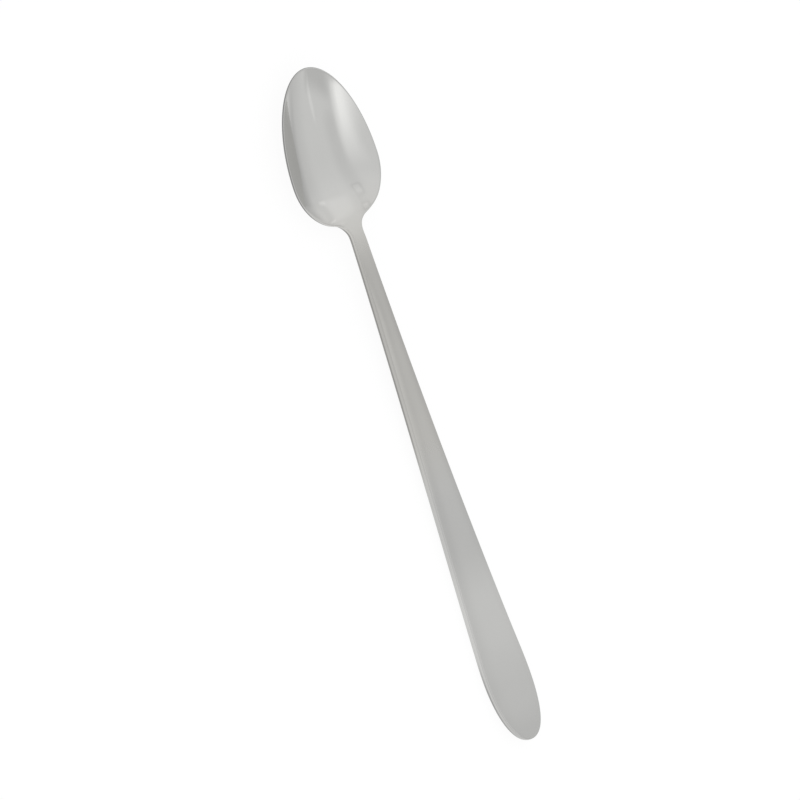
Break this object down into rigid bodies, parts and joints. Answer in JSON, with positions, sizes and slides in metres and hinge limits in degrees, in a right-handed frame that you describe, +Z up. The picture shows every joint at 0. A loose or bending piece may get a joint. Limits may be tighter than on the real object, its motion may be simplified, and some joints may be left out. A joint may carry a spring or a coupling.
{
  "type": "cocktail spoon",
  "caption": "Long-handled cocktail spoon in satin steel: egg-shaped bowl, slim neck and a flat handle that widens to a rounded, slightly turned-up end, for stirring and eating from tall glasses.",
  "frame": {"origin": "on the table that the spoon rests on, under the middle of its length and width", "axes": "+X from the tip of the bowl to the end of the handle, +Z up out of the bowl, +Y across"},
  "size_m": [0.2, 0.029, 0.0073],
  "materials": {
    "satin_steel": "satin, brushed lengthwise, with softly rounded edges"
  },
  "bodies": {
    "root": {"spoon": "satin_steel"}
  },
  "joints": []
}
